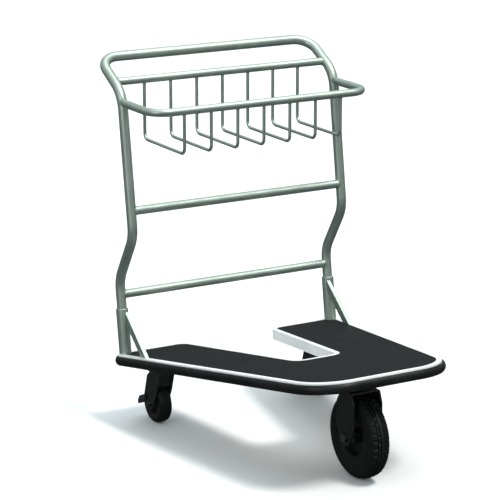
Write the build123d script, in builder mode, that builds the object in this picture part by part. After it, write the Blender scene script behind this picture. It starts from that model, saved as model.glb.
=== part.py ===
"""Nesting hotel luggage cart: notched deck on three casters, bent tube handle and hanger basket.

Millimetres, +Z up, the nose towards -Y, the origin on the floor under the middle of the cart.
The deck and everything square to it are laid out in the deck's own plane, which rises towards
the nose so that the next cart's deck slides over this one.
"""

from math import atan, cos, radians, sin
import os

from build123d import *

# Deck plane
DECK_TILT = 8.23
DECK_Z = 184.5
UPRIGHT_Y = 312.5
UPRIGHT_X = 309.0

# Deck plan, in the deck plane, y measured from the uprights
DECK_HALF = 332.0
DECK_TAPER = 0.1913
DECK_REAR = 18.0
DECK_NOSE = 760.0
REAR_RADIUS = 25.0
NOSE_RADIUS = 112.0
NOTCH_HALF = 124.0
NOTCH_TAPER = 0.155
NOTCH_DEPTH = 445.0
MOUTH_RADIUS = 38.0
APEX_RADIUS = 24.0

# Deck layers, as depths below the top face
MAT_DEPTH = 2.5
BOARD_DEPTH = 21.0
DECK_DEPTH = 27.0
TRIM_FLANGE = 13.0
TRIM_LEG = 2.0
BUMPER_TOP = 4.5
BUMPER_OUT = 9.0
BUMPER_ROUND = 5.0
BUMPER_TURN = 34.0
BARE_EDGE = (20.0, 40.0)
FRAME_INSET = 20.0
FRAME_BAR = 40.0

# Tube frame
TUBE_OD = 25.4
TUBE_WALL = 1.6
SOCKET_OD = 31.8
SOCKET_BORE = 25.8
SOCKET_HEIGHT = 117.0
TUBE_FOOT = -20.0
KINK_LOW = (0.0, 193.0)
KINK_HIGH = (-98.0, 309.0)
SHOULDER = (-98.5, 670.0)
HANDLE = (17.4, 758.5)
KINK_RADIUS = 75.0
SHOULDER_RADIUS = 78.0
HANDLE_RADIUS = 50.0
CROSS_OD = 22.2
RAIL_OD = 20.0
BAR_WALL = 1.5
LOWER_BAR = (0.0, 153.5)
MID_BAR = (-98.0, 375.0)
REAR_RAIL = (-60.5, 698.6)
FRONT_RAIL_Y = -174.0
FRONT_RAIL_Z = 839.5
FRONT_RAIL_ROOT_Y = -5.5
FRONT_RAIL_RADIUS = 50.0

# Hanger wires
HANGER_COUNT = 7
HANGER_PITCH = 75.0
HANGER_OD = 8.0
HANGER_Z = 731.0
HANGER_RADIUS = 16.0

# Braces
BRACE_X = 302.5
BRACE_FOOT = (-98.0, 0.0)
BRACE_HEAD = (-6.5, 100.8)
BRACE_WIDTH = 22.0
BRACE_THICK = 11.0

# Casters: y is measured from the uprights, heights from the floor
FRONT = {
    "x": 0.0, "y": -606.0, "plate_z": 236.0, "plate_thick": 4.0, "plate": (90.0, 100.0),
    "bolts": (64.0, 70.0), "race": 10.0, "race_radius": 30.0, "offset": -28.0,
    "wheel_radius": 106.0, "wheel_width": 52.0, "rim_radius": 54.0, "hub_radius": 17.0,
    "fork_gap": 74.0, "fork_thick": 4.0, "crown": 4.0, "crown_y": (-52.0, -8.0),
    "shoulder": 30.0, "leg": (-64.0, 11.0, 128.0), "web": 0.0, "end_radius": 21.0,
    "axle_radius": 6.0, "pin_radius": 7.0,
}
REAR = {
    "x": 236.7, "y": -64.0, "plate_z": 155.5, "plate_thick": 4.0, "plate": (84.0, 96.0),
    "bolts": (60.0, 72.0), "race": 9.0, "race_radius": 25.0, "offset": 26.0,
    "wheel_radius": 52.0, "wheel_width": 34.0, "rim_radius": 33.0, "hub_radius": 13.0,
    "fork_gap": 39.0, "fork_thick": 3.0, "crown": 3.5, "crown_y": (-26.0, 22.0),
    "shoulder": 18.0, "leg": (-10.0, 43.0, 92.0), "web": 38.0, "end_radius": 15.0,
    "axle_radius": 4.0, "pin_radius": 6.0,
}
PEDAL_PIVOT = (52.0, 62.0)
PEDAL_ARM = 3.0
PEDAL_PIN_RADIUS = 3.0
PEDAL_EYE = 8.0
PEDAL_PLATE = [(29.0, -4.0), (39.0, -19.0), (36.0, -28.0), (28.5, -16.0)]
SHOE_FACE = 28.5
YOKE_CUT = 80.0
FORK_LUG = 9.0
FORK_CUT = 300.0
CREASE = (12.0, 3.0, 30.0)
PIN_HEAD = (5.0, 3.0, 1.2)
AXLE_HEX = 1.9
AXLE_NUT = 1.6
AXLE_HEAD = 0.9
SLEEVE_WALL = 2.5
BEARING_WALL = 6.0
MOUNT_WALL = 3.0
BOLT_RADIUS = 4.0
BOLT_HEAD = 5.5
BOLT_FLATS = 7.4
RACE_WIDTH = 7.0
BALL_COUNT = 12
SCREW_HEAD = (4.0, 2.0)
SCREW_SHANK = (2.0, 18.0)
NOSE_CROSS = 240.0
PLATE_MARGIN = 20.0
RUNNING = 0.05
CLEAR = 0.3

THETA = radians(DECK_TILT)
DECK = Plane(
    origin=(0, UPRIGHT_Y, DECK_Z), x_dir=(1, 0, 0), z_dir=(0, sin(THETA), cos(THETA))
)
os.makedirs("parts", exist_ok=True)


def save(part, name):
    """Labels a finished piece and writes its STEP."""
    part.label = name
    export_step(part, f"parts/{name}.step")
    return part


def on_deck(x, along, up):
    """World point of a place given in the deck plane."""
    return DECK.from_local_coords(Vector(x, along, up))


def deck_under(y):
    """Height of the deck's underside at a world y."""
    foot = on_deck(0, 0, -DECK_DEPTH)
    return foot.Z - (y - foot.Y) * sin(THETA) / cos(THETA)


def side_plane(x):
    """Plane facing +X whose sketch axes are the world's Y and Z."""
    return Plane(origin=(x, 0, 0), x_dir=(0, 1, 0), z_dir=(1, 0, 0))


# Deck ---------------------------------------------------------------------------------


def deck_corners(inset):
    """Right half of the deck plan as (x, y, radius), every edge moved inwards by inset."""
    rear, nose, apex = DECK_REAR - inset, inset - DECK_NOSE, -NOTCH_DEPTH - inset
    side = DECK_HALF - inset / cos(atan(DECK_TAPER))
    gap = NOTCH_HALF + inset / cos(atan(NOTCH_TAPER))
    return [
        (side + DECK_TAPER * nose, nose, NOSE_RADIUS - inset),
        (side + DECK_TAPER * rear, rear, max(REAR_RADIUS - inset, 1.0)),
        (gap + NOTCH_TAPER * rear, rear, max(MOUTH_RADIUS - inset, 1.0)),
        (gap + NOTCH_TAPER * apex, apex, APEX_RADIUS + inset),
    ]


def deck_plan(inset):
    """Face of the deck plan, flat on XY, every edge moved inwards by inset."""
    right = deck_corners(inset)
    corners = right + [(-x, y, r) for x, y, r in reversed(right)]
    with BuildSketch() as plan:
        with BuildLine():
            FilletPolyline(
                [(x, y) for x, y, _ in corners], radius=[r for _, _, r in corners], close=True
            )
        make_face()
    return plan.sketch


def deck_layer(inset, top, bottom):
    """Slab of the deck plan between two depths."""
    plan = deck_plan(inset)
    with BuildPart() as slab:
        with BuildSketch(DECK.offset(-bottom)):
            add(plan)
        extrude(amount=bottom - top)
    return slab.part


def rear_zone():
    """Block round the notch and the rear edge, where the trim shows without a bumper."""
    right = deck_corners(0)
    rear_x, mouth_x, apex_x = right[1][0] - BUMPER_TURN, right[2][0], right[3][0]
    edge, deep = BARE_EDGE
    with BuildPart() as zone:
        with BuildSketch(DECK.offset(-DECK_DEPTH - 1)):
            with BuildLine():
                Polyline(
                    (rear_x, DECK_REAR + 1), (rear_x, DECK_REAR - edge),
                    (mouth_x + edge, DECK_REAR - edge), (apex_x + deep, -NOTCH_DEPTH - deep),
                    (-apex_x - deep, -NOTCH_DEPTH - deep), (-mouth_x - edge, DECK_REAR - edge),
                    (-rear_x, DECK_REAR - edge), (-rear_x, DECK_REAR + 1), close=True,
                )
            make_face()
        extrude(amount=DECK_DEPTH + 2)
    return zone.part


def socket_solid(radius):
    """Both sockets' cylinders, filled, through the whole deck."""
    with BuildPart() as posts:
        with BuildSketch(DECK.offset(-DECK_DEPTH - 1)):
            with Locations((UPRIGHT_X, 0), (-UPRIGHT_X, 0)):
                Circle(radius)
        extrude(amount=SOCKET_HEIGHT + DECK_DEPTH)
    return posts.part


# Frame --------------------------------------------------------------------------------


def tube(path_points, radii, outer, wall, ring=True):
    """Bent tube along a filleted path."""
    with BuildPart() as bent:
        with BuildLine() as path:
            FilletPolyline(path_points, radius=radii)
        with BuildSketch(Plane(origin=path.line @ 0, z_dir=path.line % 0)):
            Circle(outer / 2)
            if ring:
                Circle(outer / 2 - wall, mode=Mode.SUBTRACT)
        sweep()
    return bent.part


def cross_bar(place, outer, ring=True):
    """Straight bar between the uprights' axes, at a place in the deck's side view."""
    start = on_deck(-UPRIGHT_X, *place)
    with BuildPart() as bar:
        with BuildSketch(Plane(origin=start, z_dir=(1, 0, 0))):
            Circle(outer / 2)
            if ring:
                Circle(outer / 2 - BAR_WALL, mode=Mode.SUBTRACT)
        extrude(amount=2 * UPRIGHT_X)
    return bar.part


def handle_path():
    """Corner points of the one bent tube, from the left foot over the handle to the right foot."""
    profile = [(0.0, TUBE_FOOT), KINK_LOW, KINK_HIGH, SHOULDER, HANDLE]
    right = [on_deck(UPRIGHT_X, *place) for place in profile]
    left = [on_deck(-UPRIGHT_X, *place) for place in profile]
    return right + left[::-1]


HANDLE_RADII = [KINK_RADIUS, KINK_RADIUS, SHOULDER_RADIUS, HANDLE_RADIUS]
FRONT_RAIL_PATH = [
    (UPRIGHT_X, UPRIGHT_Y + FRONT_RAIL_ROOT_Y, FRONT_RAIL_Z),
    (UPRIGHT_X, UPRIGHT_Y + FRONT_RAIL_Y, FRONT_RAIL_Z),
    (-UPRIGHT_X, UPRIGHT_Y + FRONT_RAIL_Y, FRONT_RAIL_Z),
    (-UPRIGHT_X, UPRIGHT_Y + FRONT_RAIL_ROOT_Y, FRONT_RAIL_Z),
]


def hanger(x):
    """One U-shaped wire hung from the rear rail to the front rail, before its ends are coped."""
    rear = on_deck(x, *REAR_RAIL)
    front_y = UPRIGHT_Y + FRONT_RAIL_Y
    points = [
        (x, rear.Y, rear.Z), (x, rear.Y, HANGER_Z), (x, front_y, HANGER_Z), (x, front_y, FRONT_RAIL_Z)
    ]
    return tube(points, [HANGER_RADIUS, HANGER_RADIUS], HANGER_OD, 0, ring=False)


def brace(side):
    """Flat diagonal bar from the socket's front down to the deck."""
    foot = on_deck(side * BRACE_X, *BRACE_FOOT)
    head = on_deck(side * BRACE_X, *BRACE_HEAD)
    along = (head - foot).normalized()
    with BuildPart() as bar:
        with BuildSketch(Plane(origin=foot - along * BRACE_WIDTH, x_dir=(1, 0, 0), z_dir=along)):
            RectangleRounded(BRACE_THICK, BRACE_WIDTH, 1.5)
        extrude(amount=(head - foot).length + BRACE_WIDTH)
        with BuildSketch(DECK):
            Rectangle(3 * UPRIGHT_X, 3 * UPRIGHT_X)
        extrude(amount=-2 * BRACE_WIDTH, mode=Mode.SUBTRACT)
    return bar.part


# Casters ------------------------------------------------------------------------------


def caster_bolt_places(c, x):
    """World x, y of the four bolts of one caster plate."""
    half_x, half_y = c["bolts"][0] / 2, c["bolts"][1] / 2
    y = UPRIGHT_Y + c["y"]
    return [(x + i * half_x, y + j * half_y) for i in (-1, 1) for j in (-1, 1)]


def caster_mount(c, x):
    """Folded wedge that carries the level caster plate under the sloping deck."""
    width, length = c["plate"]
    y, wall = UPRIGHT_Y + c["y"], MOUNT_WALL
    near, far = y - length / 2, y + length / 2
    with BuildPart() as wedge:
        with BuildSketch(side_plane(x - width / 2)):
            with BuildLine():
                Polyline(
                    (near, c["plate_z"]), (far, c["plate_z"]), (far, deck_under(far)),
                    (near, deck_under(near)), close=True,
                )
            make_face()
        extrude(amount=width)
        with BuildSketch(side_plane(x - width / 2 + wall)):
            with BuildLine():
                Polyline(
                    (near - 1, c["plate_z"] + wall), (far + 1, c["plate_z"] + wall),
                    (far + 1, deck_under(far) + 9), (near - 1, deck_under(near) + 9), close=True,
                )
            make_face()
        extrude(amount=width - 2 * wall, mode=Mode.SUBTRACT)
        with Locations(*[(px, py, c["plate_z"]) for px, py in caster_bolt_places(c, x)]):
            Cylinder(BOLT_RADIUS + CLEAR / 2, 4 * MOUNT_WALL, mode=Mode.SUBTRACT)
    return wedge.part


def caster_bolts(casters):
    """Hexagon bolts up through every caster plate into the threaded floor of its mount."""
    with BuildPart() as bolts:
        for c, x, px, py in [(c, x, *place) for _, c, x in casters for place in caster_bolt_places(c, x)]:
            seat = c["plate_z"] - c["plate_thick"]
            with BuildSketch(Plane.XY.offset(seat - BOLT_HEAD)):
                with Locations((px, py)):
                    RegularPolygon(BOLT_FLATS, 6)
            extrude(amount=BOLT_HEAD)
            with BuildSketch(Plane.XY.offset(seat)):
                with Locations((px, py)):
                    Circle(BOLT_RADIUS)
            extrude(amount=c["plate_thick"] + MOUNT_WALL - CLEAR)
    return bolts.part


def caster_plate(c, x):
    """Level top plate with the fixed upper race under it."""
    y, top = UPRIGHT_Y + c["y"], c["plate_z"]
    with BuildPart() as plate:
        with BuildSketch(Plane.XY.offset(top - c["plate_thick"])):
            with Locations((x, y)):
                RectangleRounded(*c["plate"], 8)
                Circle(c["pin_radius"], mode=Mode.SUBTRACT)
            with Locations(*caster_bolt_places(c, x)):
                Circle(BOLT_RADIUS + CLEAR / 2, mode=Mode.SUBTRACT)
        extrude(amount=c["plate_thick"])
        with BuildSketch(Plane.XY.offset(top - c["plate_thick"] - c["race"] / 2)):
            with Locations((x, y)):
                Circle(c["race_radius"])
                Circle(c["race_radius"] - RACE_WIDTH, mode=Mode.SUBTRACT)
        extrude(amount=c["race"] / 2)
    return plate.part


def race_balls(c, x):
    """Ring of balls between the plate and the fork, inside the two races and round the kingpin."""
    y = UPRIGHT_Y + c["y"]
    radius = c["race_radius"] - RACE_WIDTH - c["race"] / 2
    middle = c["plate_z"] - c["plate_thick"] - c["race"] / 2
    with BuildPart() as balls:
        with Locations((x, y, middle)):
            with PolarLocations(radius, BALL_COUNT):
                Sphere(c["race"] / 2 - CLEAR)
    return balls.part


def kingpin(c, x):
    """Headed pin fixed in the plate, on which the fork turns."""
    top = c["plate_z"]
    under = top - c["plate_thick"] - c["race"] - c["crown"]
    flange, height, rounding = PIN_HEAD
    with BuildPart() as pin:
        with BuildSketch(Plane.XY.offset(under - CLEAR)):
            with Locations((x, UPRIGHT_Y + c["y"])):
                Circle(c["pin_radius"])
        extrude(amount=top - under + CLEAR)
        with BuildSketch(Plane.XY.offset(under - CLEAR - height)):
            with Locations((x, UPRIGHT_Y + c["y"])):
                Circle(c["pin_radius"] + flange)
        extrude(amount=height)
        fillet(pin.edges().sort_by(Axis.Z)[0], rounding)
    return pin.part


def axle_place(c):
    """World y and z of the wheel's axle."""
    return UPRIGHT_Y + c["y"] + c["offset"], c["wheel_radius"]


def fork(c, x, braked=False):
    """Pressed fork: a crown with the lower race, and two legs down to the axle.

    The braked fork also has a web across its front, cut round the kingpin's head, and a pressed
    crease in each leg.
    """
    y, top = UPRIGHT_Y + c["y"], c["plate_z"] - c["plate_thick"] - c["race"]
    axle_y, axle_z = axle_place(c)
    near, far, waist = c["leg"]
    half = c["fork_gap"] / 2 + c["fork_thick"]
    crown_near, crown_far = c["crown_y"]
    with BuildPart() as body:
        with BuildSketch(side_plane(x - half)):
            with BuildLine():
                Polyline(
                    (y + crown_near, top), (y + crown_far, top), (y + far, top - c["shoulder"]),
                    (y + far, waist), (y + near, waist), (y + near, top - c["shoulder"]), close=True,
                )
                CenterArc((axle_y, axle_z), c["end_radius"], 0, 360)
                if braked:
                    CenterArc((y + PEDAL_PIVOT[0], PEDAL_PIVOT[1]), FORK_LUG, 0, 360)
            make_hull()
        extrude(amount=2 * half)
        fillet(body.edges().filter_by(Axis.Y).group_by(Axis.Z)[-1], c["fork_thick"] + 2)
        with BuildSketch(Plane.XY.offset(0)):
            with Locations((x, y)):
                Rectangle(c["fork_gap"], FORK_CUT)
        extrude(amount=top - c["crown"], mode=Mode.SUBTRACT)
        if c["web"]:
            with BuildSketch(Plane.XY.offset(top - c["web"])):
                with Locations((x, y + near + c["fork_thick"] / 2)):
                    Rectangle(c["fork_gap"], c["fork_thick"])
            extrude(amount=c["web"])
            with BuildSketch(Plane.XY.offset(top - c["crown"])):
                with Locations((x, y)):
                    Circle(c["pin_radius"] + PIN_HEAD[0] + 1)
            extrude(amount=-PIN_HEAD[1] - 1, mode=Mode.SUBTRACT)
            for side in (-1, 1):
                with BuildSketch(side_plane(x + side * half)):
                    with Locations((y + CREASE[0], (top + waist) / 2)):
                        SlotOverall(top - waist + CREASE[2], CREASE[1], rotation=90)
                extrude(amount=-side, mode=Mode.SUBTRACT)
        with BuildSketch(Plane.XY.offset(top - c["crown"])):
            with Locations((x, y)):
                Circle(c["race_radius"] + 3)
        extrude(amount=c["crown"])
        with BuildSketch(Plane.XY.offset(top)):
            with Locations((x, y)):
                Circle(c["race_radius"])
                Circle(c["race_radius"] - RACE_WIDTH, mode=Mode.SUBTRACT)
        extrude(amount=c["race"] / 2 - CLEAR)
        with BuildSketch(Plane.XY.offset(top - c["crown"])):
            with Locations((x, y)):
                Circle(c["pin_radius"] + RUNNING)
        extrude(amount=c["race"] + c["crown"], mode=Mode.SUBTRACT)
        with BuildSketch(side_plane(x - half)):
            with Locations((axle_y, axle_z)):
                Circle(c["axle_radius"])
            if braked:
                with Locations((y + PEDAL_PIVOT[0], PEDAL_PIVOT[1])):
                    Circle(PEDAL_PIN_RADIUS)
        extrude(amount=2 * half, mode=Mode.SUBTRACT)
    return body.part


def axle_bolt(c, x):
    """Bolt through both fork legs, its head on the inner side of the cart."""
    half, head = c["fork_gap"] / 2 + c["fork_thick"], AXLE_HEAD * c["axle_radius"] + 1
    side = 1 if x < 0 else -1
    thread = half + 2 * head
    with BuildPart() as bolt:
        with BuildSketch(side_plane(x + side * half)):
            with Locations(axle_place(c)):
                RegularPolygon(AXLE_HEX * c["axle_radius"], 6)
        extrude(amount=side * head)
        with BuildSketch(side_plane(x + side * half)):
            with Locations(axle_place(c)):
                Circle(c["axle_radius"])
        extrude(amount=-side * (half + thread))
    return bolt.part


def axle_nut(c, x):
    """Nut on the outer end of the axle bolt."""
    half, side = c["fork_gap"] / 2 + c["fork_thick"], 1 if x < 0 else -1
    with BuildPart() as nut:
        with BuildSketch(side_plane(x - side * half)):
            with Locations(axle_place(c)):
                RegularPolygon(AXLE_HEX * c["axle_radius"], 6)
                Circle(c["axle_radius"], mode=Mode.SUBTRACT)
        extrude(amount=-side * AXLE_NUT * c["axle_radius"])
    return nut.part


def axle_spacers(c, x):
    """Sleeves on the axle between the fork legs and the wheel's bearings."""
    inner, outer = c["wheel_width"] / 2 - 2, c["fork_gap"] / 2
    with BuildPart() as sleeves:
        for start, amount in ((x + inner, outer - inner), (x - inner, inner - outer)):
            with BuildSketch(side_plane(start)):
                with Locations(axle_place(c)):
                    Circle(c["axle_radius"] + SLEEVE_WALL)
                    Circle(c["axle_radius"] + RUNNING, mode=Mode.SUBTRACT)
            extrude(amount=amount)
    return sleeves.part


def wheel_axis(c, x):
    """Plane through the wheel's middle whose sketch x is the radius and y the axle direction."""
    return Plane(origin=(x, *axle_place(c)), x_dir=(0, 0, 1), z_dir=(0, -1, 0))


def tyre(c, x):
    """Tyre with a crowned tread and rounded shoulders, on the rim."""
    outer, half, rim = c["wheel_radius"], c["wheel_width"] / 2, c["rim_radius"]
    shoulder = 0.36 * (outer - rim)
    tread, drop = 0.58 * half, 0.03 * half + 0.6
    with BuildPart() as ring:
        with BuildSketch(wheel_axis(c, x)):
            with BuildLine():
                Polyline(
                    (outer - shoulder, -half), (rim + shoulder, -half), (rim, -0.8 * half),
                    (rim, 0.8 * half), (rim + shoulder, half), (outer - shoulder, half),
                )
                ThreePointArc(
                    (outer - shoulder, half), (outer - 0.34 * shoulder, 0.86 * half),
                    (outer - drop, tread),
                )
                ThreePointArc((outer - drop, tread), (outer, 0), (outer - drop, -tread))
                ThreePointArc(
                    (outer - drop, -tread), (outer - 0.34 * shoulder, -0.86 * half),
                    (outer - shoulder, -half),
                )
            make_face()
        revolve(axis=Axis((x, *axle_place(c)), (1, 0, 0)))
    return ring.part


def rim(c, x):
    """Wheel centre: a flanged rim, a thin web and a hub bored for two bearings."""
    outer, half, hub = c["rim_radius"], 0.8 * c["wheel_width"] / 2, c["hub_radius"]
    bore = c["axle_radius"] + BEARING_WALL
    with BuildPart() as centre:
        with BuildSketch(wheel_axis(c, x)):
            with BuildLine():
                Polyline(
                    (bore, -half + 0.5), (hub, -half + 0.5), (hub + 2, -3), (outer - 7, -3),
                    (outer - 4, -half), (outer, -half), (outer, half), (outer - 4, half),
                    (outer - 7, 3), (hub + 2, 3), (hub, half - 0.5), (bore, half - 0.5), close=True,
                )
            make_face()
        revolve(axis=Axis((x, *axle_place(c)), (1, 0, 0)))
    return centre.part


def wheel_bearings(c, x):
    """Two bearing rings pressed into the hub, one each side."""
    half, width = 0.8 * c["wheel_width"] / 2 - 0.5, 0.28 * c["wheel_width"]
    with BuildPart() as rings:
        for start, amount in ((x + half, -width), (x - half, width)):
            with BuildSketch(side_plane(start)):
                with Locations(axle_place(c)):
                    Circle(c["axle_radius"] + BEARING_WALL)
                    Circle(c["axle_radius"] + RUNNING, mode=Mode.SUBTRACT)
            extrude(amount=amount)
    return rings.part


def brake_pedal(c, x):
    """Yoke on the fork's outer faces with a foot plate behind the wheel and a shoe facing it."""
    y = UPRIGHT_Y + c["y"]
    pivot_y, pivot_z = y + PEDAL_PIVOT[0], PEDAL_PIVOT[1]
    inner = c["fork_gap"] / 2 + c["fork_thick"] + CLEAR
    half = inner + PEDAL_ARM
    with BuildPart() as pedal:
        with BuildSketch(side_plane(x - half)):
            with BuildLine():
                CenterArc((pivot_y, pivot_z), PEDAL_EYE, 0, 360)
                Polyline([(pivot_y + u, pivot_z + v) for u, v in PEDAL_PLATE], close=True)
            make_hull()
        extrude(amount=2 * half)
        with BuildSketch(side_plane(x - inner)):
            with Locations((pivot_y + SHOE_FACE - YOKE_CUT / 2, pivot_z)):
                Rectangle(YOKE_CUT, YOKE_CUT)
        extrude(amount=2 * inner, mode=Mode.SUBTRACT)
        with BuildSketch(side_plane(x - half)):
            with Locations((pivot_y, pivot_z)):
                Circle(PEDAL_PIN_RADIUS + RUNNING)
        extrude(amount=2 * half, mode=Mode.SUBTRACT)
    return pedal.part


def pedal_pins(c, x):
    """Two rivets in the fork legs that carry the pedal yoke."""
    y = UPRIGHT_Y + c["y"]
    inner = c["fork_gap"] / 2
    reach = c["fork_thick"] + CLEAR + PEDAL_ARM
    with BuildPart() as pins:
        for side in (-1, 1):
            with BuildSketch(side_plane(x + side * inner)):
                with Locations((y + PEDAL_PIVOT[0], PEDAL_PIVOT[1])):
                    Circle(PEDAL_PIN_RADIUS)
            extrude(amount=side * (reach + CLEAR))
            with BuildSketch(side_plane(x + side * (inner + reach + CLEAR))):
                with Locations((y + PEDAL_PIVOT[0], PEDAL_PIVOT[1])):
                    Circle(PEDAL_PIN_RADIUS + 2)
            extrude(amount=side * 1.8)
    return pins.part


# Deck pieces --------------------------------------------------------------------------
posts = socket_solid(SOCKET_OD / 2 + RUNNING)

mat = deck_layer(TRIM_FLANGE, 0.0, MAT_DEPTH) - posts
save(mat, "deck_mat")

board = deck_layer(TRIM_LEG, MAT_DEPTH, BOARD_DEPTH) - posts

trim = deck_layer(0, 0, DECK_DEPTH) - deck_layer(TRIM_LEG, MAT_DEPTH, DECK_DEPTH + 1)
trim = trim - deck_layer(TRIM_FLANGE, -1, MAT_DEPTH + 0.01) - posts
zone = rear_zone()
save(trim - zone, "edge_trim")
save(trim & zone, "notch_trim")

with BuildPart() as edge_bumper:
    nose, rear = deck_corners(0)[:2]
    with BuildLine(DECK) as path:
        FilletPolyline(
            (rear[0] - BUMPER_TURN, rear[1]), rear[:2], nose[:2],
            (-nose[0], nose[1]), (-rear[0], rear[1]), (BUMPER_TURN - rear[0], rear[1]),
            radius=[REAR_RADIUS, NOSE_RADIUS, NOSE_RADIUS, REAR_RADIUS],
        )
    start, heading = path.line @ 0, path.line % 0
    with BuildSketch(Plane(origin=start, x_dir=DECK.z_dir.cross(heading), z_dir=heading)):
        with BuildLine():
            Polyline((0, -BUMPER_TOP), (0, -DECK_DEPTH))
            Line((0, -DECK_DEPTH), (BUMPER_OUT - BUMPER_ROUND, -DECK_DEPTH))
            ThreePointArc(
                (BUMPER_OUT - BUMPER_ROUND, -DECK_DEPTH), (BUMPER_OUT, -(DECK_DEPTH + BUMPER_TOP) / 2),
                (BUMPER_OUT - BUMPER_ROUND, -BUMPER_TOP),
            )
            Line((BUMPER_OUT - BUMPER_ROUND, -BUMPER_TOP), (0, -BUMPER_TOP))
        make_face()
    sweep()
save(edge_bumper.part, "edge_bumper")

outer_plan, inner_plan = deck_plan(FRAME_INSET), deck_plan(FRAME_INSET + FRAME_BAR)
with BuildPart() as base_frame:
    with BuildSketch(DECK.offset(-DECK_DEPTH)):
        add(outer_plan)
        add(inner_plan, mode=Mode.SUBTRACT)
        with Locations((0, FRONT["y"])):
            Rectangle(FRONT["plate"][0] + PLATE_MARGIN, NOSE_CROSS)
        with Locations((REAR["x"], REAR["y"]), (-REAR["x"], REAR["y"])):
            Rectangle(REAR["plate"][0] + PLATE_MARGIN, REAR["plate"][1] + PLATE_MARGIN)
    extrude(amount=DECK_DEPTH - BOARD_DEPTH)

ring = FRAME_INSET + FRAME_BAR / 2
places = [(DECK_HALF - ring + DECK_TAPER * y, y) for y in (-180, -310, -440, -570)]
places += [(NOTCH_HALF + ring + NOTCH_TAPER * y, y) for y in (-20, -170, -320)]
places += [(60, -DECK_NOSE + ring)]
places += [(-x, y) for x, y in places]
with BuildPart() as deck_screws:
    for radius, depth in (SCREW_HEAD, SCREW_SHANK):
        with BuildSketch(DECK.offset(-DECK_DEPTH)):
            with Locations(*places):
                Circle(radius)
        extrude(amount=depth)
save(deck_screws.part, "deck_screws")
save(base_frame.part - posts - deck_screws.part, "base_frame")
save(board - deck_screws.part, "deck_board")

# Tube frame ---------------------------------------------------------------------------
handle_radii = HANDLE_RADII + HANDLE_RADII[::-1]
handle_frame = tube(handle_path(), handle_radii, TUBE_OD, TUBE_WALL)
handle_solid = tube(handle_path(), handle_radii, TUBE_OD, TUBE_WALL, ring=False)
save(handle_frame, "handle_frame")

for side, x in (("left", UPRIGHT_X), ("right", -UPRIGHT_X)):
    with BuildPart() as socket:
        with BuildSketch(DECK.offset(-BOARD_DEPTH)):
            with Locations((x, 0)):
                Circle(SOCKET_OD / 2)
        extrude(amount=BOARD_DEPTH + SOCKET_HEIGHT)
        chamfer(socket.faces().sort_by(Axis.Z)[-1].edges(), 1)
        with BuildSketch(DECK.offset(TUBE_FOOT)):
            with Locations((x, 0)):
                Circle(SOCKET_BORE / 2)
        extrude(amount=SOCKET_HEIGHT - TUBE_FOOT, mode=Mode.SUBTRACT)
    save(socket.part, f"socket_{side}")

for name, place in (("mid_bar", MID_BAR), ("lower_bar", LOWER_BAR)):
    save(cross_bar(place, CROSS_OD) - handle_solid, name)

rear_rail_solid = cross_bar(REAR_RAIL, RAIL_OD, ring=False)
save(cross_bar(REAR_RAIL, RAIL_OD) - handle_solid, "rear_rail")
front_radii = [FRONT_RAIL_RADIUS, FRONT_RAIL_RADIUS]
front_rail_solid = tube(FRONT_RAIL_PATH, front_radii, RAIL_OD, BAR_WALL, ring=False)
save(tube(FRONT_RAIL_PATH, front_radii, RAIL_OD, BAR_WALL) - handle_solid, "front_rail")

for index in range(HANGER_COUNT):
    x = (index - (HANGER_COUNT - 1) / 2) * HANGER_PITCH
    save(hanger(x) - rear_rail_solid - front_rail_solid, f"hanger_{index + 1}")

for side, sign in (("left", 1), ("right", -1)):
    save(brace(sign) - socket_solid(SOCKET_OD / 2), f"brace_{side}")

# Casters ------------------------------------------------------------------------------
CASTERS = [("front", FRONT, 0.0), ("rear_left", REAR, REAR["x"]), ("rear_right", REAR, -REAR["x"])]
save(caster_bolts(CASTERS), "caster_bolts")
for name, c, x in CASTERS:
    save(caster_mount(c, x), f"{name}_mount")
    save(caster_plate(c, x), f"{name}_plate")
    save(race_balls(c, x), f"{name}_race_balls")
    save(kingpin(c, x), f"{name}_kingpin")
    save(fork(c, x, braked=c is REAR), f"{name}_fork")
    save(axle_bolt(c, x), f"{name}_axle_bolt")
    save(axle_nut(c, x), f"{name}_axle_nut")
    save(rim(c, x), f"{name}_rim")
    save(tyre(c, x), f"{name}_tyre")
    save(wheel_bearings(c, x), f"{name}_bearings")
    if c is REAR:
        save(brake_pedal(c, x), f"{name}_pedal")
        save(pedal_pins(c, x), f"{name}_pedal_pins")
    else:
        save(axle_spacers(c, x), f"{name}_spacers")
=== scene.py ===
"""Looks for the hotel luggage cart: satin steel tube, charcoal mat, bright edging, black rubber."""

import bmesh
import bpy
import math
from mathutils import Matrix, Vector


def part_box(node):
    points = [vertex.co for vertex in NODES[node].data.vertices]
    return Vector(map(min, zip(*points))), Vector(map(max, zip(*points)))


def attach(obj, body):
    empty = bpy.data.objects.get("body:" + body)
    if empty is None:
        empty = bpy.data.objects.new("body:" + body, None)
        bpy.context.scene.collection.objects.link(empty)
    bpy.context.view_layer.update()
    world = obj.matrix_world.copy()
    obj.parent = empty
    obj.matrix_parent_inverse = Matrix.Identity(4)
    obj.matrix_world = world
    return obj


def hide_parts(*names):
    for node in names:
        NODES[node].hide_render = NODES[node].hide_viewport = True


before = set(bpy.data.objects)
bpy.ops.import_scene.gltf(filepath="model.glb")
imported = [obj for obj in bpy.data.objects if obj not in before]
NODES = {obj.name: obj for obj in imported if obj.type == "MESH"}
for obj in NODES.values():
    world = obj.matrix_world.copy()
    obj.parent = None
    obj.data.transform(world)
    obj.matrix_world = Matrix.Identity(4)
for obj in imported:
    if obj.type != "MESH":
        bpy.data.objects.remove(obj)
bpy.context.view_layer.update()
scene = bpy.context.scene

# Geometry shared with the part, in metres
TILT = math.radians(8.23)
UPRIGHT_X = 0.309
TUBE_R = 0.0127
HANGER_COUNT = 7
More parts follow.
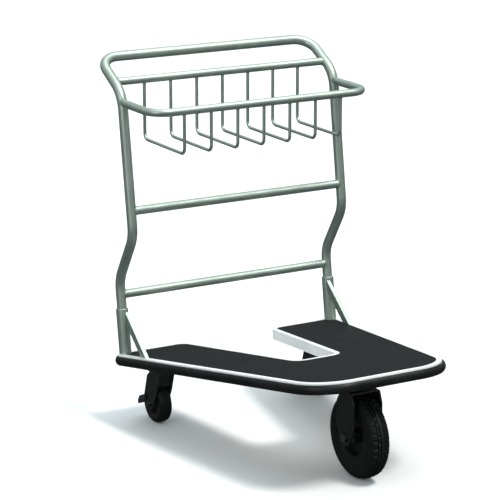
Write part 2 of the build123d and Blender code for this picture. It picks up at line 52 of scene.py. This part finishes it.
# Run and rise of the slanted tube from its shoulder to the handle, in the deck's plane
HANDLE_RUN, HANDLE_RISE = 0.1159, 0.0885
DECK_UP = Vector((0, math.sin(TILT), math.cos(TILT)))
DECK_BACK = Vector((0, math.cos(TILT), -math.sin(TILT)))

# Weld beads, in metres, and the counts their loops are built from. The shift brings the front
# rail's beads forward on the tube.
RAIL_BEAD_SHIFT = 0.0026
BEAD_R = 0.0014
WIRE_BEAD_R = 0.0009
BEAD_SIDES = 8
BEAD_STEPS = 40
WIRE_STEPS = 20
RIPPLE, RIPPLE_TURN = 0.16, 2.1

# Light and camera
FLOOR_HALF = 14
KEY_DIRECTION = (-0.22, 0.42, -0.88)
STUDIO_AIM = (0, 0, 0.5)
CAMERA_PLACE = (-2.6832, -4.4967, 1.8852)
CAMERA_AIM = (0.21625, 0.58843, 0.32603)
CAMERA_LENS = 157.3


# Node helpers -------------------------------------------------------------------------


def shade(tint, factor, lift=0.0):
    """A tint made darker or lighter."""
    return tuple(lift + c * factor for c in tint)


class Mat:
    """A node material with one Principled shader, and short calls for the usual nodes."""

    def __init__(self, name, color, metallic=0.0, roughness=0.5, **sockets):
        self.m = bpy.data.materials.new(name)
        self.m.use_nodes = True
        self.t = self.m.node_tree
        self.b = self.t.nodes["Principled BSDF"]
        self.b.inputs["Base Color"].default_value = (*color, 1)
        self.b.inputs["Metallic"].default_value = metallic
        self.b.inputs["Roughness"].default_value = roughness
        for key, value in sockets.items():
            self.b.inputs[key.replace("_", " ")].default_value = value
        self.coord = self.t.nodes.new("ShaderNodeTexCoord")

    def link(self, a, b):
        self.t.links.new(a, b)

    def space(self, scale=(1, 1, 1), turn=(0, 0, 0)):
        """Object coordinates, scaled and turned."""
        mapping = self.t.nodes.new("ShaderNodeMapping")
        mapping.inputs["Scale"].default_value = scale
        mapping.inputs["Rotation"].default_value = turn
        self.link(self.coord.outputs["Object"], mapping.inputs["Vector"])
        return mapping.outputs["Vector"]

    def noise(self, scale, vector=None, detail=4.0, rough=0.55, distortion=0.0):
        """Cloudy noise, 0 to 1."""
        n = self.t.nodes.new("ShaderNodeTexNoise")
        n.inputs["Scale"].default_value = scale
        n.inputs["Detail"].default_value = detail
        n.inputs["Roughness"].default_value = rough
        n.inputs["Distortion"].default_value = distortion
        self.link(vector or self.coord.outputs["Object"], n.inputs["Vector"])
        return n.outputs["Fac"]

    def cells(self, scale):
        """Distance to the nearest of scattered points."""
        n = self.t.nodes.new("ShaderNodeTexVoronoi")
        n.inputs["Scale"].default_value = scale
        self.link(self.coord.outputs["Object"], n.inputs["Vector"])
        return n.outputs["Distance"]

    def ramp(self, value, low, high, start=0.0, stop=1.0):
        """Maps value from low..high to start..stop, clamped."""
        n = self.t.nodes.new("ShaderNodeMapRange")
        for key, number in (("From Min", low), ("From Max", high), ("To Min", start), ("To Max", stop)):
            n.inputs[key].default_value = number
        self.link(value, n.inputs["Value"])
        return n.outputs["Result"]

    def tone(self, value, dark, light):
        """Base colour that goes from dark to light with value."""
        n = self.t.nodes.new("ShaderNodeMix")
        n.data_type = "RGBA"
        n.inputs["A"].default_value = (*dark, 1)
        n.inputs["B"].default_value = (*light, 1)
        self.link(value, n.inputs["Factor"])
        return n.outputs["Result"]

    def blend(self, value, under, light):
        """Lays a colour over an earlier colour output by value."""
        n = self.t.nodes.new("ShaderNodeMix")
        n.data_type = "RGBA"
        n.inputs["B"].default_value = (*light, 1)
        self.link(under, n.inputs["A"])
        self.link(value, n.inputs["Factor"])
        return n.outputs["Result"]

    def math(self, kind, a, b):
        """One arithmetic node on two outputs or numbers."""
        n = self.t.nodes.new("ShaderNodeMath")
        n.operation = kind
        for socket, value in zip(n.inputs, (a, b)):
            if isinstance(value, (int, float)):
                socket.default_value = value
            else:
                self.link(value, socket)
        return n.outputs[0]

    def edges(self, radius, strength):
        """Wear along sharp edges, from the bevelled normal against the true one."""
        bevel = self.t.nodes.new("ShaderNodeBevel")
        bevel.samples = 4
        bevel.inputs["Radius"].default_value = radius
        geometry = self.t.nodes.new("ShaderNodeNewGeometry")
        dot = self.t.nodes.new("ShaderNodeVectorMath")
        dot.operation = "DOT_PRODUCT"
        self.link(bevel.outputs["Normal"], dot.inputs[0])
        self.link(geometry.outputs["Normal"], dot.inputs[1])
        worn = self.ramp(dot.outputs["Value"], 0.999, 0.9, 0.0, strength)
        return self.math("MULTIPLY", worn, self.ramp(self.noise(90, detail=6), 0.42, 0.6, 0.2, 1.0))

    def set_color(self, out):
        self.link(out, self.b.inputs["Base Color"])

    def set_rough(self, out):
        self.link(out, self.b.inputs["Roughness"])

    def bump(self, height, distance, strength=1.0, under=None):
        """Bumps the surface by height, over an earlier bump if there is one."""
        n = self.t.nodes.new("ShaderNodeBump")
        n.inputs["Distance"].default_value = distance
        n.inputs["Strength"].default_value = strength
        self.link(height, n.inputs["Height"])
        if under is not None:
            self.link(under, n.inputs["Normal"])
        self.link(n.outputs["Normal"], self.b.inputs["Normal"])
        return n.outputs["Normal"]


def steel(name, stretch, tint=(0.372, 0.442, 0.388), rough=0.42):
    """Satin drawn steel, its fine lines running along the tube."""
    m = Mat(name, tint, 0.9, rough, Coat_Weight=0.10, Coat_Roughness=0.30)
    lines = m.noise(1.0, m.space(stretch), detail=3)
    cloud = m.noise(7.0, detail=5)
    smudge = m.noise(38.0, detail=6, rough=0.65)
    mixed = m.math("ADD", m.math("MULTIPLY", lines, 0.45), m.math("MULTIPLY", cloud, 0.55))
    color = m.tone(m.ramp(mixed, 0.34, 0.66), shade(tint, 0.80), shade(tint, 1.22))
    marks = m.ramp(m.noise(420.0, detail=2), 0.68, 0.80, 0.0, 0.16)
    m.set_color(m.blend(marks, color, shade(tint, 0.45)))
    m.set_rough(m.ramp(m.math("ADD", lines, smudge), 0.75, 1.25, rough - 0.06, rough + 0.12))
    first = m.bump(lines, 0.00003, 0.6)
    m.bump(smudge, 0.00008, 0.35, under=first)
    return m.m


def powder(name, tint, rough=0.46):
    """Powder coat: orange peel, patches of dust and worn edges."""
    m = Mat(name, tint, 0.0, rough, Coat_Weight=0.05, Coat_Roughness=0.35, Specular_IOR_Level=0.32)
    peel = m.noise(900.0, detail=2)
    cloud = m.noise(16.0, detail=6, rough=0.6)
    color = m.tone(m.ramp(cloud, 0.35, 0.68), shade(tint, 0.7), shade(tint, 1.5))
    dust = m.ramp(m.noise(55.0, detail=8, rough=0.7), 0.56, 0.74, 0.0, 0.28)
    color = m.blend(dust, color, shade(tint, 2.0, 0.03))
    m.set_color(m.blend(m.edges(0.0009, 0.4), color, (0.12, 0.125, 0.125)))
    m.set_rough(m.ramp(cloud, 0.35, 0.68, rough - 0.08, rough + 0.12))
    m.bump(peel, 0.00012, 0.6)
    return m.m


def rubber(name, tint, rough, grain, depth, dusty):
    """Rubber: fine skin, faint bloom and scuffs."""
    m = Mat(name, tint, 0.0, rough, Specular_IOR_Level=0.24)
    skin = m.noise(grain, detail=3)
    bloom = m.noise(11.0, detail=6, rough=0.62)
    color = m.tone(m.ramp(bloom, 0.36, 0.66), shade(tint, 0.7), shade(tint, 1.7))
    scuff = m.ramp(m.noise(1.0, m.space((60, 60, 320)), detail=7, rough=0.68), 0.58, 0.72, 0.0, dusty)
    m.set_color(m.blend(scuff, color, (0.05, 0.05, 0.048)))
    m.set_rough(m.ramp(bloom, 0.36, 0.66, rough - 0.07, rough + 0.1))
    m.bump(skin, depth, 0.7)
    return m.m


def mat_surface():
    """Charcoal non-slip mat: tight pebble grain with faint traffic marks."""
    m = Mat("deck_mat", (0.008, 0.009, 0.010), 0.0, 0.70, Specular_IOR_Level=0.08)
    pebble = m.cells(620.0)
    fine = m.noise(1500.0, detail=2)
    traffic = m.noise(1.0, m.space((5, 3.2, 5)), detail=7, rough=0.62, distortion=0.6)
    dark, light = (0.0055, 0.0064, 0.0068), (0.0105, 0.0118, 0.0122)
    color = m.tone(m.ramp(traffic, 0.34, 0.68), dark, light)
    color = m.blend(m.ramp(pebble, 0.0, 0.55, 0.30, 0.0), color, (0.024, 0.026, 0.0275))
    streaks = m.ramp(m.noise(1.0, m.space((150, 9, 9), (0, 0, 0.35)), detail=5), 0.60, 0.75, 0.0, 0.16)
    m.set_color(m.blend(streaks, color, (0.036, 0.038, 0.040)))
    m.set_rough(m.ramp(traffic, 0.34, 0.68, 0.52, 0.70))
    first = m.bump(pebble, 0.00035, 0.8)
    m.bump(fine, 0.00010, 0.5, under=first)
    return m.m


def edging(name):
    """Bright satin aluminium extrusion with lengthwise lines and small dings."""
    m = Mat(name, (0.90, 0.91, 0.90), 0.20, 0.36)
    lines = m.noise(1.0, m.space((40, 40, 2200)), detail=3)
    cloud = m.noise(12.0, detail=5)
    color = m.tone(m.ramp(cloud, 0.35, 0.65), (0.88, 0.89, 0.89), (0.97, 0.98, 0.97))
    ding = m.ramp(m.noise(140.0, detail=4), 0.64, 0.76, 0.0, 0.4)
    m.set_color(m.blend(ding, color, (0.74, 0.75, 0.75)))
    m.set_rough(m.ramp(m.math("ADD", lines, cloud), 0.75, 1.25, 0.28, 0.44))
    m.bump(lines, 0.00004, 0.5)
    return m.m


def plywood():
    """Birch plywood: long grain on the face, plies on the edge."""
    m = Mat("board", (0.50, 0.36, 0.22), 0.0, 0.6)
    grain = m.noise(1.0, m.space((70, 5, 5)), detail=8, rough=0.62, distortion=0.8)
    plies = m.noise(1.0, m.space((1, 1, 420), (-TILT, 0, 0)), detail=0)
    color = m.tone(m.ramp(grain, 0.32, 0.68), (0.34, 0.22, 0.12), (0.62, 0.47, 0.30))
    m.set_color(m.blend(m.ramp(plies, 0.45, 0.55, 0.0, 0.35), color, (0.24, 0.15, 0.08)))
    m.bump(grain, 0.0002, 0.5)
    return m.m


def zinc(name, tint):
    """Zinc plated steel: faint spangle and handling marks."""
    m = Mat(name, tint, 1.0, 0.32)
    spangle = m.cells(260.0)
    haze = m.noise(60.0, detail=6)
    color = m.tone(m.ramp(spangle, 0.0, 0.7), shade(tint, 0.8), shade(tint, 1.25))
    m.set_color(m.blend(m.ramp(haze, 0.56, 0.7, 0.0, 0.4), color, (0.12, 0.11, 0.09)))
    m.set_rough(m.ramp(haze, 0.35, 0.7, 0.24, 0.46))
    m.bump(haze, 0.00008, 0.4)
    return m.m


def plastic(name, tint):
    """Moulded black plastic with a spark-eroded grain."""
    m = Mat(name, tint, 0.0, 0.45)
    grain = m.cells(900.0)
    cloud = m.noise(30.0, detail=5)
    color = m.tone(m.ramp(cloud, 0.35, 0.65), shade(tint, 0.75), shade(tint, 1.5))
    m.set_color(m.blend(m.edges(0.0008, 0.4), color, (0.10, 0.10, 0.10)))
    m.set_rough(m.ramp(cloud, 0.35, 0.65, 0.38, 0.56))
    m.bump(grain, 0.00015, 0.6)
    return m.m


STEEL_UP = steel("steel_up", (900, 900, 9))
STEEL_ACROSS = steel("steel_across", (9, 900, 900))
STEEL_WIRE = steel("steel_wire", (700, 700, 60), (0.40, 0.47, 0.42), 0.36)
SOCKET = steel("socket_steel", (900, 900, 14), (0.378, 0.45, 0.395), 0.44)
WELD = steel("weld_steel", (400, 400, 400), (0.27, 0.29, 0.28), 0.40)
MAT = mat_surface()
EDGING = edging("edge_aluminium")
BUMPER = rubber("bumper", (0.0042, 0.0044, 0.0046), 0.40, 420.0, 0.00010, 0.10)
TYRE = rubber("tyre", (0.0030, 0.0033, 0.0033), 0.54, 600.0, 0.00014, 0.06)
BOARD = plywood()
BASE = powder("base_steel", (0.009, 0.0095, 0.010))
CASTER = powder("caster_steel", (0.0066, 0.0078, 0.0072), 0.42)
RIM = powder("rim", (0.006, 0.006, 0.0065), 0.42)
PEDAL = plastic("pedal", (0.010, 0.010, 0.011))
# The fastener zinc tint is set far darker than bright plating: painted shade for the axle bolts, nuts
# and pedal pins, which sit in shadow low on the casters.
ZINC_DARKENED_AS_SHADE = zinc("fastener", (0.15, 0.155, 0.155))


def material_for(node):
    """The material of one CAD node."""
    if node.startswith("hanger"):
        return STEEL_WIRE
    if node in ("mid_bar", "lower_bar", "rear_rail", "front_rail"):
        return STEEL_ACROSS
    if node == "handle_frame":
        return STEEL_UP
    if node.startswith(("socket", "brace")):
        return SOCKET
    named = {
        "deck_mat": MAT, "edge_trim": EDGING, "notch_trim": EDGING, "edge_bumper": BUMPER,
        "deck_board": BOARD, "base_frame": BASE,
    }
    if node in named:
        return named[node]
    for ending, material in (
        ("_mount", BASE), ("_plate", CASTER), ("_fork", CASTER), ("_rim", RIM), ("_tyre", TYRE),
        ("_pedal", PEDAL),
    ):
        if node.endswith(ending):
            return material
    return ZINC_DARKENED_AS_SHADE


for node, obj in NODES.items():
    for place in obj.material_slots:
        place.material = material_for(node)


# Meshes -------------------------------------------------------------------------------


def piece(name, mesh, material, body, sharp):
    """Adds a finished mesh that rides on a body."""
    mesh.materials.append(material)
    for face in mesh.polygons:
        face.use_smooth = True
    mesh.set_sharp_from_angle(angle=math.radians(sharp))
    obj = bpy.data.objects.new(name, mesh)
    scene.collection.objects.link(obj)
    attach(obj, body)
    return obj


def mesh_from(bm, name):
    """A mesh with outward normals from a finished bmesh."""
    bmesh.ops.recalc_face_normals(bm, faces=bm.faces)
    mesh = bpy.data.meshes.new(name)
    bm.to_mesh(mesh)
    bm.free()
    return mesh


def lathe(name, section, centre, count, cut=None):
    """Ring turned about the X axis from a closed section of (radius, x).

    cut says how much to take off a point's radius.
    """
    bm = bmesh.new()
    rows = []
    for i in range(count):
        angle = 2 * math.pi * i / count
        row = []
        for radius, x in section:
            r = radius - (cut(i, radius, x) if cut else 0.0)
            spoke = Vector((x, r * math.cos(angle), r * math.sin(angle)))
            row.append(bm.verts.new(centre + spoke))
        rows.append(row)
    for i in range(count):
        a, b = rows[i], rows[(i + 1) % count]
        for j in range(len(section)):
            k = (j + 1) % len(section)
            bm.faces.new((a[j], b[j], b[k], a[k]))
    return mesh_from(bm, name)


def centre_of(node):
    """Middle of a CAD node's box."""
    low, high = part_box(node)
    return (Vector(low) + Vector(high)) / 2


def mirrored(half):
    """A section's right half followed by its mirror, so the ring closes."""
    return half + [(r, -x) for r, x in reversed(half)]


# Front tyre's section from the rim to beside the middle: a rounded sidewall with a bead ring, the
# shoulder lugs, a rib and half of the middle rib
FRONT_HALF = [
    (0.0542, 0.0212), (0.0562, 0.0226), (0.0580, 0.0222), (0.0588, 0.0232),
    (0.0640, 0.0246), (0.0720, 0.0257), (0.0800, 0.0260), (0.0815, 0.0255), (0.0830, 0.0260),
    (0.0885, 0.0254), (0.0940, 0.0240), (0.0985, 0.0218), (0.1018, 0.0186), (0.1036, 0.0158),
    (0.1036, 0.0140), (0.1006, 0.0134), (0.1006, 0.0116), (0.1046, 0.0110), (0.1054, 0.0070),
    (0.1020, 0.0064), (0.1020, 0.0048), (0.1056, 0.0042), (0.1060, 0.0012),
]

# Slots of the front tread: over what radius, between which x, how deep, and every how many steps
LUG_SLOT = {"over": 0.1015, "x": (0.0138, 0.0186), "depth": 0.0034}
RIB_SLOT = {"over": 0.1040, "x": (0.0066, 0.0113), "depth": 0.0026}
SLOT_PITCH = 6
FRONT_STEPS, REAR_STEPS = 36 * SLOT_PITCH, 128


def front_cut(i, radius, x):
    """Slots across the shoulder lugs, and narrower ones across the ribs beside the middle one."""
    for slot, steps in ((LUG_SLOT, (0, 1)), (RIB_SLOT, (SLOT_PITCH // 2,))):
        inner, outer = slot["x"]
        if radius > slot["over"] and inner < abs(x) <= outer and i % SLOT_PITCH in steps:
            return slot["depth"]
    return 0.0


# Rear tyre's section: a plain sidewall and a tread with one groove each side
REAR_HALF = [
    (0.0331, 0.0138), (0.0345, 0.0150), (0.0360, 0.0148), (0.0372, 0.0160),
    (0.0410, 0.0169), (0.0440, 0.0170), (0.0468, 0.0162), (0.0492, 0.0142), (0.0508, 0.0112),
    (0.0516, 0.0080), (0.0512, 0.0073), (0.0512, 0.0064), (0.0518, 0.0057), (0.0520, 0.0010),
]

for caster, half, count, cut in (
    ("front", FRONT_HALF, FRONT_STEPS, front_cut), ("rear_left", REAR_HALF, REAR_STEPS, None),
    ("rear_right", REAR_HALF, REAR_STEPS, None),
):
    node = f"{caster}_tyre"
    mesh = lathe(node + "_tread", mirrored(half), centre_of(node), count, cut)
    tread = piece(node + "_tread", mesh, TYRE, f"{caster}_wheel", 30)
    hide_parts(node)


def weld(name, points, radius):
    """Rippled bead swept round a closed loop of points."""
    bm = bmesh.new()
    middle = sum(points, Vector()) / len(points)
    rows = []
    for i, p in enumerate(points):
        ahead = (points[(i + 1) % len(points)] - points[i - 1]).normalized()
        out = p - middle
        out = (out - ahead * out.dot(ahead)).normalized()
        side = ahead.cross(out)
        r = radius * (1.0 + RIPPLE * math.sin(i * RIPPLE_TURN))
        rows.append([
            bm.verts.new(p + out * r * math.cos(a) + side * r * math.sin(a))
            for a in (2 * math.pi * k / BEAD_SIDES for k in range(BEAD_SIDES))
        ])
    for i in range(len(rows)):
        a, b = rows[i], rows[(i + 1) % len(rows)]
        for k in range(BEAD_SIDES):
            n = (k + 1) % BEAD_SIDES
            bm.faces.new((a[k], b[k], b[n], a[n]))
    piece(name, mesh_from(bm, name), WELD, "cart", 80)


def saddle(middle, bar, along, bar_r, tube_r, steps):
    """Loop where a bar's end meets a tube: middle is on the tube's axis, bar points away from it."""
    side = bar.cross(along).normalized()
    up = side.cross(bar).normalized()
    loop = []
    for i in range(steps):
        t = 2 * math.pi * i / steps
        off = up * bar_r * math.cos(t) + side * bar_r * math.sin(t)
        reach = math.sqrt(tube_r**2 - (bar_r * math.sin(t)) ** 2)
        loop.append(middle + off + bar * reach)
    return loop


SLOPE = (DECK_BACK * HANDLE_RUN + DECK_UP * HANDLE_RISE).normalized()
for node, along in (("lower_bar", DECK_UP), ("mid_bar", DECK_UP), ("rear_rail", SLOPE)):
    centre = centre_of(node)
    low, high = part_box(node)
    bar_r = (high[2] - low[2]) / 2
    for side in (-1, 1):
        middle = Vector((side * UPRIGHT_X, centre.y, centre.z))
        loop = saddle(middle, Vector((-side, 0, 0)), along, bar_r, TUBE_R, BEAD_STEPS)
        weld(f"weld_{node}_{'left' if side > 0 else 'right'}", loop, BEAD_R)

rail_low, rail_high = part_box("front_rail")
rail_r = (rail_high[2] - rail_low[2]) / 2
rail_z = (rail_high[2] + rail_low[2]) / 2
for side in (-1, 1):
    middle = Vector((side * UPRIGHT_X, rail_high[1] + TUBE_R - RAIL_BEAD_SHIFT, rail_z))
    loop = saddle(middle, Vector((0, -1, 0)), DECK_UP, rail_r, TUBE_R, BEAD_STEPS)
    weld(f"weld_front_rail_{'left' if side > 0 else 'right'}", loop, BEAD_R)

rear = centre_of("rear_rail")
for index in range(HANGER_COUNT):
    low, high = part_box(f"hanger_{index + 1}")
    x = (low[0] + high[0]) / 2
    wire_r = (high[0] - low[0]) / 2
    for end, y, z in (("rear", high[1] - wire_r, rear.z), ("front", low[1] + wire_r, rail_z)):
        middle, down, along = Vector((x, y, z)), Vector((0, 0, -1)), Vector((1, 0, 0))
        loop = saddle(middle, down, along, wire_r, rail_r, WIRE_STEPS)
        weld(f"weld_hanger_{index + 1}_{end}", loop, WIRE_BEAD_R)


# Stage --------------------------------------------------------------------------------
floor_mesh = bpy.data.meshes.new("floor")
bm = bmesh.new()
bmesh.ops.create_grid(bm, x_segments=8, y_segments=8, size=FLOOR_HALF)
bm.to_mesh(floor_mesh)
bm.free()
floor = bpy.data.objects.new("floor", floor_mesh)
scene.collection.objects.link(floor)
ground = Mat("floor", (0.86, 0.88, 0.89), 0.0, 0.75)
ground.set_color(ground.tone(ground.noise(2.0), (0.85, 0.87, 0.88), (0.87, 0.89, 0.90)))
floor_mesh.materials.append(ground.m)
floor.visible_glossy = False

# A dome that is brighter overhead lights the cart, and the camera sees plain white behind it
world = bpy.data.worlds.new("studio")
scene.world = world
world.use_nodes = True
tree = world.node_tree
dome = tree.nodes["Background"]
direction = tree.nodes.new("ShaderNodeTexCoord")
split = tree.nodes.new("ShaderNodeSeparateXYZ")
sky = tree.nodes.new("ShaderNodeValToRGB")
tree.links.new(direction.outputs["Generated"], split.inputs[0])
lift = tree.nodes.new("ShaderNodeMapRange")
lift.inputs["From Min"].default_value = -1.0
tree.links.new(split.outputs["Z"], lift.inputs["Value"])
tree.links.new(lift.outputs["Result"], sky.inputs["Fac"])
stops = ((0.0, 0.06), (0.47, 0.12), (0.53, 0.30), (0.72, 0.62), (1.0, 0.95))
while len(sky.color_ramp.elements) < len(stops):
    sky.color_ramp.elements.new(0.5)
for element, (place, value) in zip(sky.color_ramp.elements, stops):
    element.position = place
    element.color = (value * 0.90, value, value * 1.03, 1)
tree.links.new(sky.outputs["Color"], dome.inputs["Color"])
white = tree.nodes.new("ShaderNodeBackground")
white.inputs["Color"].default_value = (1, 1, 1, 1)
seen = tree.nodes.new("ShaderNodeLightPath")
either = tree.nodes.new("ShaderNodeMixShader")
tree.links.new(seen.outputs["Is Camera Ray"], either.inputs["Fac"])
tree.links.new(dome.outputs["Background"], either.inputs[1])
tree.links.new(white.outputs["Background"], either.inputs[2])
tree.links.new(either.outputs["Shader"], tree.nodes["World Output"].inputs["Surface"])


def softbox(name, place, size, power):
    """Area light at place, aimed at the middle of the cart."""
    data = bpy.data.lights.new(name, "AREA")
    data.shape = "RECTANGLE"
    data.size, data.size_y = size
    data.energy = power
    light = bpy.data.objects.new(name, data)
    scene.collection.objects.link(light)
    light.location = place
    light.rotation_euler = (Vector(STUDIO_AIM) - Vector(place)).to_track_quat("-Z", "Y").to_euler()


sun_data = bpy.data.lights.new("key", "SUN")
sun_data.energy = 2.3
sun_data.angle = math.radians(14)
sun_data.color = (1.0, 0.985, 0.95)
sun = bpy.data.objects.new("key", sun_data)
scene.collection.objects.link(sun)
sun.rotation_euler = Vector(KEY_DIRECTION).to_track_quat("-Z", "Y").to_euler()
softbox("strip_left", (-3.4, -1.6, 1.8), (0.9, 2.4), 26)
softbox("top", (0.3, 0.4, 3.6), (2.6, 2.6), 40)

camera_data = bpy.data.cameras.new("camera")
camera_data.lens = CAMERA_LENS
camera_data.sensor_width = 36
camera_data.clip_end = 60
camera = bpy.data.objects.new("camera", camera_data)
scene.collection.objects.link(camera)
camera.location = CAMERA_PLACE
aim = Vector(CAMERA_AIM) - camera.location
camera.rotation_euler = aim.to_track_quat("-Z", "Y").to_euler()
scene.camera = camera
scene.view_settings.view_transform = "Standard"
